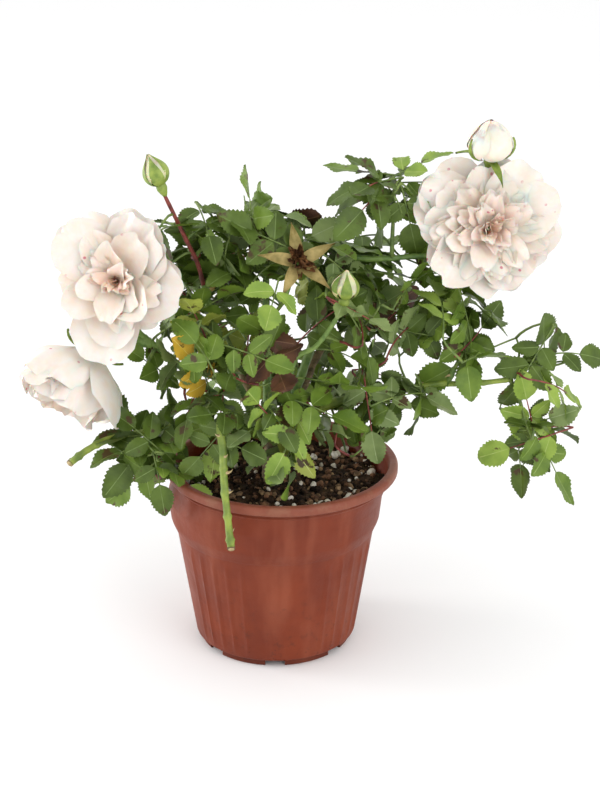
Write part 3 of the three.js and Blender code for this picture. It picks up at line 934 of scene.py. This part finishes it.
def grow_mass(node):
    """Twigs branch from the nearest limb through the mass, and end in leaves along its surface."""
    random = Random(node)
    middle = spot(node, 0, 0, 0)
    near, leaving = min(skeleton, key=lambda place: (place[0] - middle).length)
    if (near - middle).length > 6 * MM:
        branching = leaving + (middle - near).normalized()
        add_twig(near, branching, middle, middle - near, 1.4 * MM, 0.9 * MM, STALK_GREEN)
    stem_top = spot("stem", 0, 0, 1)
    sparse = node in SPARSE
    tints, sizes, numbers = SPARSE_LEAVES if sparse else FULL_LEAVES
    places = []
    for spacing, shrink, depth in SPARSE_LAYERS if sparse else FULL_LAYERS:
        places += [(*found, depth) for found in surface_places(node, random, spacing, shrink)]
    places.sort(key=lambda item: (item[0] - near).length)
    for place, out, depth in places:
        if is_buried(place, node) and random.random() < THINNING:
            continue
        tint = random.choices(range(len(LEAF_TINTS)), tints)[0]
        size = random.uniform(*sizes) * MM
        leaflets = random.choice(numbers)
        reach = size * (0.5 + 0.31 * (leaflets - 1)) + 0.8 * size
        if sparse:
            toward = ((place - middle).normalized() + random_unit(random) * 0.3 - UP * 0.15).normalized()
            up = out * 0.5 + UP * 0.5 + TO_VIEWER * 0.3 + random_unit(random) * 0.3
            foot = place - toward * min(0.9 * reach, (place - middle).length)
        else:
            up = (out * 0.8 + UP * 0.55 + random_unit(random) * 0.35).normalized()
            away = (place - stem_top).normalized() + out * 0.15 + random_unit(random) * 0.7 - UP * 0.2
            toward = ((away - up * away.dot(up)).normalized() + out * OUTWARD_TILT).normalized()
            foot = place - toward * reach * 0.55 - out * depth
        tip = foot + toward * reach
        if hides_flower(tip) or hides_flower(place):
            continue
        foot += within(tip, node) - tip
        near_foot, leaving = min(skeleton, key=lambda item: (item[0] - foot).length)
        red = random.random() < (RED_YOUNG_STALKS if tint in (YOUNG, LIME) else RED_STALKS)
        if (near_foot - foot).length > 2 * MM:
            slot = STALK_RED if red else STALK_GREEN
            add_twig(near_foot, leaving + out * 0.5, foot, toward, 0.9 * MM, 0.6 * MM, slot)
        add_spray(random, foot, toward, up, size, leaflets, tint, random.uniform(-0.8, 0.0), red)


def random_unit(random):
    return Vector((random.gauss(0, 1), random.gauss(0, 1), random.gauss(0, 1))).normalized()


def make_foliage():
    for node in MASS_NODES:
        grow_mass(node)
    for tint, batch in enumerate(leaves):
        if batch.count:
            nodes = MASS_NODES if tint == DARK else ()
            batch.piece(f"leaves_{LEAF_TINTS[tint][0]}", leaf_looks(tint), "leaf", nodes)
    stalk_looks = [
        mottled("stalk_green", "7a8e42", "526830", 240, 0.55, 0.1 * MM),
        mottled("stalk_red", "98483c", "6b3030", 240, 0.5, 0.1 * MM),
    ]
    stalks.piece("twigs_and_leaf_stalks", stalk_looks, "bark")


# ---- Blooms ----

def petal_outline(v):
    """Half-width of a petal along its length, 1 at the widest."""
    return 0.24 + 0.76 * np.sin(0.5 * math.pi * np.minimum(1, v / 0.72)) ** 1.2


def laid_out(base, axis, outward, sideways, radial, rise):
    """A grid of points, from distances across, out from and along a flower's axis."""
    points = np.array(base)
    for distance, way in ((sideways, np.cross(axis, outward)), (radial, outward), (rise, axis)):
        points = points + distance[..., None] * np.array(way)
    return points


def shaded(colours, share, low, high):
    """Tints along a petal: its foot's tone fades to its blade's by `low`, and to its rim's from `high`."""
    foot, blade, rim = (np.array(c) for c in colours)
    share = share[..., None]
    tints = foot + (blade - foot) * np.clip(share / low, 0, 1)
    return tints + (rim - tints) * np.clip((share - high) / (1 - high), 0, 1)


def add_petal(batch, random, base, axis, outward, length, width, start, end, cup, colours, ruffle, slot=0):
    """A petal that leaves its base `start` degrees from the flower's axis and ends at `end` degrees."""
    rows, columns = 12, 13
    v = np.linspace(0, 1, rows)[:, None]
    u = np.linspace(-1, 1, columns)[None, :]
    half = 0.5 * width * petal_outline(v)
    x = u * half
    notch = random.uniform(0, 0.12)
    ahead = length * (v * (1 - 0.30 * np.abs(u) ** 2.6) - notch * np.exp(-(u / 0.25) ** 2) * v ** 5)
    lean = np.radians(start + (end - start) * (ahead / length) ** 1.25)
    phase, waves = random.uniform(0, TURN), random.uniform(1.2, 2.4)
    lift = cup * width * (u ** 2) * (0.35 + 0.65 * v)
    lift = lift + ruffle * length * v ** 3 * np.sin(u * waves * math.pi + phase)
    lift = lift + ruffle * 0.5 * length * v ** 2 * np.sin(v * 5 + phase * 2)
    along = np.concatenate([ahead[:1] * 0, np.diff(ahead, axis=0)], axis=0)
    radial = np.cumsum(along * np.sin(lean), axis=0)
    rise = np.cumsum(along * np.cos(lean), axis=0)
    x = x + random.uniform(-0.24, 0.24) * ahead
    points = laid_out(base, axis, outward, x, radial - lift * np.cos(lean), rise + lift * np.sin(lean))
    tints = shaded(colours, np.clip(ahead / length, 0, 1), 0.55, 0.7)
    batch.grid(points, slots=slot, tints=tints * random.uniform(0.90, 0.97))


def petal_material(name, specks):
    look = Look(name, 0.62, 0.3)
    soft = look.mix(look.ramp(look.noise(130), 0.3, 0.7), linear("fff6ec"), (1.0, 1.0, 1.0))
    colour = look.mix(1.0, look.tint(), soft, "MULTIPLY")
    if specks:
        marks = look.times(look.ramp(look.cells(150), 0.17, 0.11), look.ramp(look.noise(40), 0.5, 0.56))
        colour = look.mix(look.times(marks, specks), colour, linear("c43a62"))
    look.colour(colour)
    look.bump(look.noise(400, 3), 0.1 * MM)
    look.soft(0.4, 3 * MM)
    return look.material


WHITE, CREAM, BLUSH, PEACH, APRICOT, MAROON = (
    linear(code) for code in ("f4efea", "f4ebe2", "f8e8de", "f8e1d3", "f5d4bc", "7c3a32")
)
RING_RISE = {"bloom_upper_left": 0.9, "bloom_lower_left": 0.9, "bloom_right": 1.7}  # mm from ring to ring

# Rings of petals from the outside in: count, length and width in mm, lean at the foot and the tip
# in degrees from the axis, cup, and the tones of the foot, blade and rim.
PETAL_RINGS = {
    "bloom_upper_left": [
        (6, 44, 40, 76, 100, 0.06, (CREAM, WHITE, WHITE)),
        (6, 41, 35, 66, 90, 0.08, (CREAM, WHITE, WHITE)),
        (8, 35, 25, 57, 84, 0.12, (BLUSH, CREAM, WHITE)),
        (9, 29, 18, 47, 78, 0.16, (PEACH, CREAM, WHITE)),
        (10, 23, 12, 38, 70, 0.20, (PEACH, BLUSH, WHITE)),
        (9, 17, 8, 27, 60, 0.25, (APRICOT, PEACH, CREAM)),
        (6, 10, 5, 14, 44, 0.30, (MAROON, APRICOT, CREAM)),
    ],
    "bloom_right": [
        (7, 42, 40, 76, 102, 0.06, (CREAM, WHITE, WHITE)),
        (8, 40, 32, 66, 92, 0.08, (CREAM, WHITE, WHITE)),
        (10, 36, 23, 56, 84, 0.12, (CREAM, CREAM, WHITE)),
        (11, 31, 17, 47, 78, 0.16, (BLUSH, CREAM, WHITE)),
        (12, 26, 13, 38, 70, 0.20, (BLUSH, BLUSH, WHITE)),
        (10, 20, 10, 27, 60, 0.25, (PEACH, BLUSH, WHITE)),
        (7, 14, 7, 15, 46, 0.30, (APRICOT, PEACH, CREAM)),
    ],
    "bloom_lower_left": [
        (6, 50, 42, 66, 14, 0.16, (CREAM, WHITE, WHITE)),
        (6, 50, 38, 54, 6, 0.18, (CREAM, WHITE, WHITE)),
        (7, 46, 30, 42, 2, 0.20, (BLUSH, CREAM, WHITE)),
        (7, 40, 21, 28, 2, 0.22, (PEACH, BLUSH, CREAM)),
        (6, 32, 13, 14, 4, 0.26, (APRICOT, PEACH, BLUSH)),
    ],
}
BLOOM_FACING = {
    "bloom_upper_left": (-0.28, -0.9, 0.3),
    "bloom_lower_left": (-0.45, -0.45, -0.75),
    "bloom_right": (0.08, -0.93, 0.2),
}
BLOOM_FOOT = {"bloom_upper_left": 13, "bloom_lower_left": 24, "bloom_right": 15}  # mm behind the middle
LOOSENESS = {"bloom_upper_left": 1.0, "bloom_lower_left": 0.5, "bloom_right": 0.8}


def make_bloom(node):
    random = Random(node)
    axis = Vector(BLOOM_FACING[node]).normalized()
    first = axis.orthogonal().normalized()
    base = spot(node, 0, 0, 0) - axis * BLOOM_FOOT[node] * MM
    batch = Batch()
    for ring, (count, length, width, start, end, cup, colours) in enumerate(PETAL_RINGS[node]):
        offset = random.uniform(0, 360)
        for i in range(count):
            angle = offset + 360 * (i + random.uniform(-0.4, 0.4)) / count
            outward = turned_by(first, axis, angle)
            foot = base + axis * ring * RING_RISE[node] * MM + outward * (4.5 - 0.6 * ring) * MM
            tilt = random.uniform(-12 - 3 * ring, 12 + 3 * ring) * LOOSENESS[node]
            grown = random.uniform(0.76, 1.05)
            add_petal(
                batch, random, foot, axis, outward, length * grown * MM, width * grown * MM,
                start + tilt, end + tilt * 1.5, cup, colours, random.uniform(0.04, 0.12),
            )
    batch.piece(f"{node}_petals", [petal_material(f"{node}_petal", 0.7)], "petal", [node])
    make_sepals(node, base - axis * 2 * MM, axis)


SEPALS = 5
DRY_PETALS = 26
calyxes = Batch()


def add_sepal(batch, base, axis, outward, length, width, start, end):
    """A narrow sepal that tapers to a fine point."""
    rows = 9
    v = np.linspace(0, 1, rows)[:, None]
    u = np.array([[-1.0, -0.5, 0.0, 0.5, 1.0]])
    half = 0.5 * width * (np.sin(math.pi * np.minimum(1, v * 0.62 + 0.3)) ** 0.9) * (1 - v ** 3)
    lean = np.radians(start + (end - start) * v)
    step = length / (rows - 1)
    radial = np.cumsum(np.sin(lean) * step, axis=0) + 0 * u
    rise = np.cumsum(np.cos(lean) * step, axis=0) + 0 * u
    lift = 0.25 * width * u ** 2
    radial, rise = radial - lift * np.cos(lean), rise + lift * np.sin(lean)
    batch.grid(laid_out(base, axis, outward, u * half, radial, rise))


def make_sepals(node, base, axis):
    """The green cup behind a bloom and its five sepals."""
    random = Random(node + " sepals")
    cup = [base - axis * 7 * MM, base - axis * 5 * MM, base - axis * 2 * MM, base, base + axis * MM]
    add_tube(calyxes, cup, [1.4 * MM, 2.6 * MM, 3.6 * MM, 3.4 * MM, 2.4 * MM], 14)
    for i in range(SEPALS):
        outward = turned_by(axis.orthogonal().normalized(), axis, 360 / SEPALS * i + random.uniform(-8, 8))
        end = random.uniform(95, 150)
        add_sepal(calyxes, base + outward * 2.6 * MM, axis, outward, 17 * MM, 6 * MM, 60, end)


def bud_outline(v, blunt):
    """Radius of a bud along its length, 1 at the widest: round at the foot, pointed or blunt at the tip."""
    return np.sin(math.pi * v ** 0.7) ** (0.6 + (1 - blunt) * 0.6 * v)


def add_bud_scale(
    batch, foot, axis, outward, length, radius, blunt, half_angle, lift, top, scallop, colours,
):
    """A petal round a bud, one edge over its neighbour, or a pointed sepal if scallop is None."""
    v = np.linspace(0.02, top, 14)[:, None]
    u = np.linspace(-1, 1, 9)[None, :]
    share = v / top
    width = (1 - share ** 2.2) ** 0.8 if scallop is None else petal_outline(share)
    v = v * (1 - (scallop or 0) * np.abs(u) ** 2.2 * share)
    angle = np.radians(half_angle) * width * u
    out = radius * bud_outline(v, blunt) + lift * (0.6 + 0.4 * u) * np.sqrt(share)
    points = laid_out(foot, axis, outward, out * np.sin(angle), out * np.cos(angle), length * v)
    batch.grid(points, tints=shaded(colours, share + 0 * u, 0.5, 0.6))


SEED_CUP = 6 * MM


def make_bud(node, facing, radius, blunt, colours, sepal_top, sepal_angle, open_sepals=False):
    """A bud: a seed cup, petals rolled into an egg, and sepals that clasp it or stand off."""
    random = Random(node)
    axis = Vector(facing).normalized()
    low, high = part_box(node)
    height = high.z - low.z
    first = axis.orthogonal().normalized()
    base = (low + high) / 2 - axis * height / 2
    cup = [base - axis * 2 * MM, base, *(base + axis * share * SEED_CUP for share in (0.45, 0.85, 1.2))]
    add_tube(calyxes, cup, [1.2 * MM, 2.2 * MM, 3.2 * MM, 3.0 * MM, 2.2 * MM], 14)
    foot = base + axis * 0.8 * SEED_CUP
    length = height - 0.8 * SEED_CUP
    petals = Batch()
    for ring, (count, half_angle, grown) in enumerate(((3, 75, 0.86), (4, 62, 0.94), (5, 50, 1.0))):
        for i in range(count):
            outward = turned_by(first, axis, 360 * i / count + 47 * ring + random.uniform(-8, 8))
            reach = length * (1.0 - 0.05 * ring * random.random())
            lift = random.uniform(0.06, 0.14) * radius
            top = 0.999 - ring * (0.04 + 0.03 * random.random()) * blunt
            add_bud_scale(
                petals, foot, axis, outward, reach, radius * grown, blunt,
                half_angle, lift, top, 0.14 if ring else 0, colours,
            )
    petals.piece(f"{node}_petals", [petal_material(f"{node}_petal", 0.25)], "bud", [node])
    green = (linear("8fa65a"),) * 3
    for i in range(SEPALS):
        outward = turned_by(first, axis, 360 / SEPALS * i + 20 + random.uniform(-6, 6))
        if open_sepals:
            end = 120 if i % 2 else -25
            add_sepal(calyxes, foot + outward * 3 * MM, axis, outward, length * 0.85, 5 * MM, 92, end)
        else:
            add_bud_scale(
                calyxes, foot, axis, outward, length * random.uniform(1.0, 1.06), radius * 1.04, blunt,
                sepal_angle, 0.7 * MM, sepal_top, None, green,
            )


BUD_GREEN = (linear("a8ac68"), linear("e8d6ae"), linear("efd8b4"))


def make_flowers():
    for node in BLOOM_FACING:
        make_bloom(node)
    make_bud("bud_left", (-0.35, -0.02, 0.93), 7.2 * MM, 0.1, BUD_GREEN, 0.99, 34)
    make_bud("bud_centre", (0.08, 0, 1), 7.6 * MM, 0.1, BUD_GREEN, 0.94, 26)
    make_bud("bud_right", (0.02, -0.2, 0.97), 12.5 * MM, 0.75, (CREAM, BLUSH, PEACH), 0.5, 20, True)
    make_spent_bloom()
    calyx_look = mottled("calyx_green", "94a648", "66802e", 170, 0.5, 0.15 * MM)
    calyxes.piece("calyxes_and_sepals", [calyx_look], "bud")


def make_spent_bloom():
    """A star of dry sepals round a shrivelled brown middle."""
    random = Random("spent bloom")
    node = "spent_bloom"
    axis = Vector((0.1, -0.75, 0.6)).normalized()
    first = axis.orthogonal().normalized()
    base = spot(node, 0, 0, 0) - axis * 5 * MM
    batch = Batch()
    for i in range(SEPALS):
        outward = turned_by(first, axis, 360 / SEPALS * i + 12)
        add_sepal(batch, base, axis, outward, 22 * MM, 8 * MM, 70, 96)
    for i in range(DRY_PETALS):
        outward = turned_by(first, axis, random.uniform(0, 360))
        lean = random.uniform(10, 75)
        add_petal(
            batch, random, base + outward * 1.5 * MM, axis, outward, random.uniform(7, 13) * MM,
            random.uniform(2, 6) * MM, lean, lean - 30, 0.4, (CREAM, CREAM, CREAM), 0.12, 1,
        )
    looks = [
        mottled("dry_sepal", "b8a468", "83763f", 150, 0.7, 0.2 * MM),
        mottled("dry_petal", "8a5c30", "44260f", 200, 0.8, 0.4 * MM),
    ]
    batch.piece("spent_bloom_dry", looks, "spent", [node])


# ---- Floor, light and camera ----

FLOOR_REACH = 6.0


def area_light(name, at, aim, size, power):
    data = bpy.data.lights.new(name, "AREA")
    data.shape = "DISK"
    data.size = size
    data.energy = power
    light = new_object(name, data)
    light.location = at
    light.rotation_euler = (Vector(aim) - Vector(at)).to_track_quat("-Z", "Y").to_euler()


def make_stage():
    scene = bpy.context.scene
    mesh = bpy.data.meshes.new("floor")
    corner_signs = ((-1, -1), (1, -1), (1, 1), (-1, 1))
    mesh.from_pydata([(x * FLOOR_REACH, y * FLOOR_REACH, 0) for x, y in corner_signs], [], [(0, 1, 2, 3)])
    floor = new_object("floor", mesh)
    paper = Look("paper", 0.9, 0.1)
    paper.colour(linear("fbfbfb"))
    mesh.materials.append(paper.material)
    world = bpy.data.worlds.new("studio")
    world.use_nodes = True
    world.node_tree.nodes["Background"].inputs["Color"].default_value = (1, 1, 1, 1)
    world.node_tree.nodes["Background"].inputs["Strength"].default_value = 1.0
    scene.world = world
    scene.view_settings.view_transform = "Standard"
    area_light("key", (-1.3, -0.5, 1.3), (0, 0, 0.15), 0.9, 2.5)
    area_light("side", (-1.5, 0.3, 0.35), (0, 0, 0.08), 0.6, 12)
    area_light("fill", (0.9, -1.1, 0.9), (0, 0, 0.2), 1.2, 7)


CAMERA_AIM = Vector((15.3, 0, 157)) * MM
CAMERA_DISTANCE = 1.2
CAMERA_ELEVATION = math.radians(22)
CAMERA_LENS = 89.1


def make_camera():
    data = bpy.data.cameras.new("camera")
    data.lens = CAMERA_LENS
    data.sensor_width = 36
    camera = new_object("camera", data)
    back = Vector((0, -math.cos(CAMERA_ELEVATION), math.sin(CAMERA_ELEVATION)))
    camera.location = CAMERA_AIM + back * CAMERA_DISTANCE
    camera.rotation_euler = (-back).to_track_quat("-Z", "Y").to_euler()
    bpy.context.scene.camera = camera


make_camera()
make_stage()
make_pot()
make_soil()
make_limbs()
make_foliage()
make_flowers()
